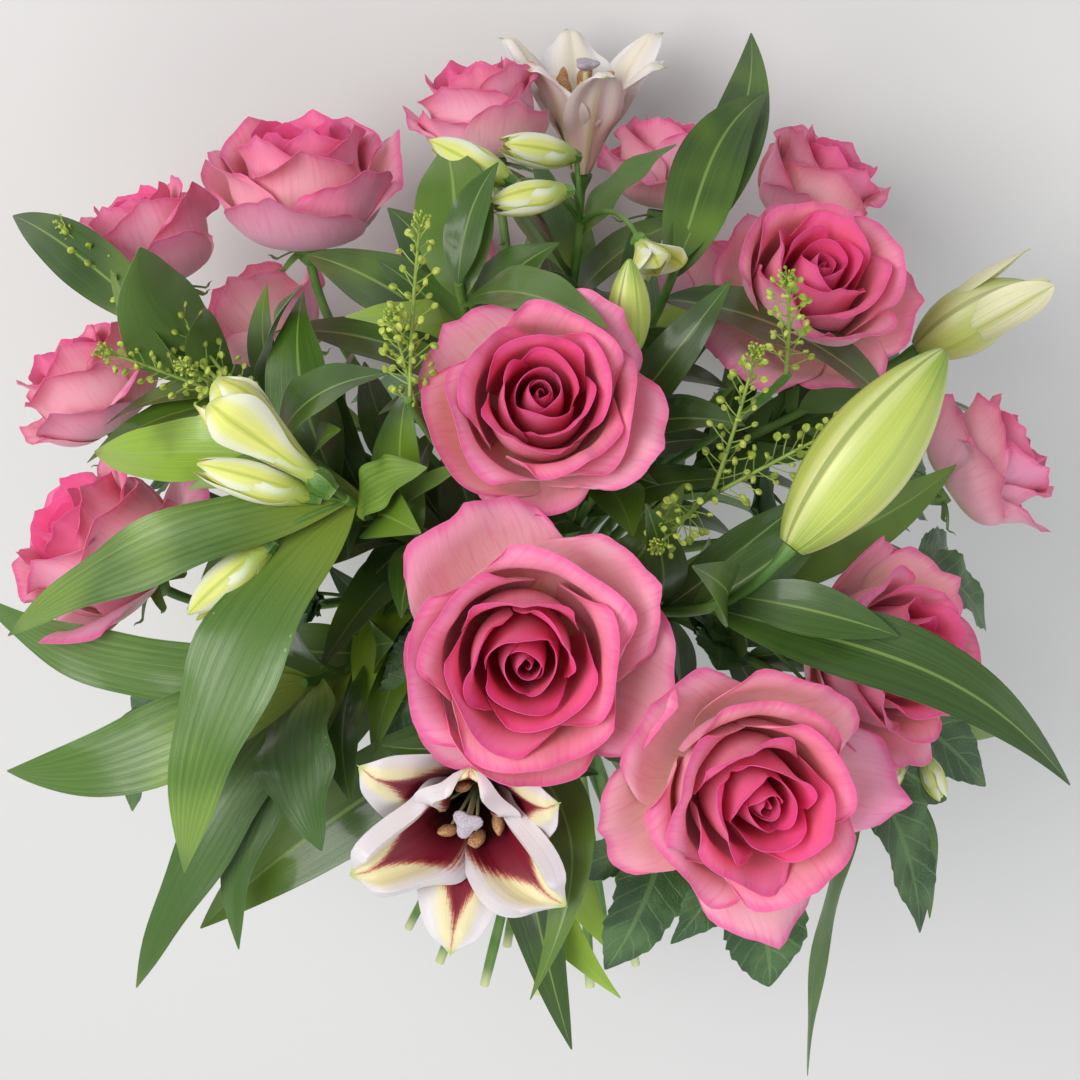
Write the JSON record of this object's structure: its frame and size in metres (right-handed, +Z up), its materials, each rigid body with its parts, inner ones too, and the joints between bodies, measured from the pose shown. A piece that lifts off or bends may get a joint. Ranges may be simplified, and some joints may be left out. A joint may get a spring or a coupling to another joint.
{
  "type": "mixed flower bouquet",
  "caption": "Hand-tied bouquet of pink roses, lilies, alstroemeria, pennycress and glossy foliage, lying on its back with its stems crossed in a twine binding.",
  "frame": {"origin": "middle of the lying bunch's floor plan, on the surface it lies on", "axes": "+Z up, +Y from the cut stems to the flowers, +X to the right of the pictured side"},
  "size_m": [0.4816, 0.4874, 0.3796],
  "materials": {
    "rose_petal": "soft satin petal, pink paler to its base",
    "rose_green": "green rose stem, sepals and saw-edged leaflets",
    "lily_petal": "white waxy petal with a burgundy throat",
    "lily_stamen": "tan anthers on pale filaments",
    "lily_bud": "yellow-green satin bud",
    "lily_green": "smooth green stem and lance leaves",
    "alstroemeria_green": "ribbed green leaves and pale buds",
    "pennycress_green": "matt yellow-green pods",
    "foliage_green": "glossy dark green leaves",
    "twine": "plain natural twine"
  },
  "bodies": {
    "root": {"alstroemeria_left": "alstroemeria_green", "alstroemeria_lower": "alstroemeria_green", "alstroemeria_right": "alstroemeria_green", "alstroemeria_top": "alstroemeria_green", "foliage_back": "foliage_green", "foliage_left": "foliage_green", "foliage_right": "foliage_green", "foliage_top": "foliage_green", "foliage_upper_left": "foliage_green", "foliage_upper_right": "foliage_green", "lily_back_petals": "lily_petal", "lily_back_stamens": "lily_stamen", "lily_back_stem": "lily_green", "lily_bud_large": "lily_bud", "lily_bud_large_stem": "lily_green", "lily_bud_opening": "lily_bud", "lily_bud_opening_stem": "lily_green", "lily_bud_small": "lily_bud", "lily_bud_small_stem": "lily_green", "lily_front_petals": "lily_petal", "lily_front_stamens": "lily_stamen", "lily_front_stem": "lily_green", "pennycress_centre": "pennycress_green", "pennycress_high": "pennycress_green", "pennycress_left": "pennycress_green", "pennycress_right": "pennycress_green", "rose_01_bloom": "rose_petal", "rose_01_stem": "rose_green", "rose_02_bloom": "rose_petal", "rose_02_stem": "rose_green", "rose_03_bloom": "rose_petal", "rose_03_stem": "rose_green", "rose_04_bloom": "rose_petal", "rose_04_stem": "rose_green", "rose_05_bloom": "rose_petal", "rose_05_stem": "rose_green", "rose_06_bloom": "rose_petal", "rose_06_stem": "rose_green", "rose_07_bloom": "rose_petal", "rose_07_stem": "rose_green", "rose_08_bloom": "rose_petal", "rose_08_stem": "rose_green", "rose_09_bloom": "rose_petal", "rose_09_stem": "rose_green", "rose_10_bloom": "rose_petal", "rose_10_stem": "rose_green", "rose_11_bloom": "rose_petal", "rose_11_stem": "rose_green", "rose_12_bloom": "rose_petal", "rose_12_stem": "rose_green", "rose_13_bloom": "rose_petal", "rose_13_stem": "rose_green", "rose_14_bloom": "rose_petal", "rose_14_stem": "rose_green", "rose_15_bloom": "rose_petal", "rose_15_stem": "rose_green", "rose_16_bloom": "rose_petal", "rose_16_stem": "rose_green", "twine_binding": "twine"}
  },
  "joints": []
}
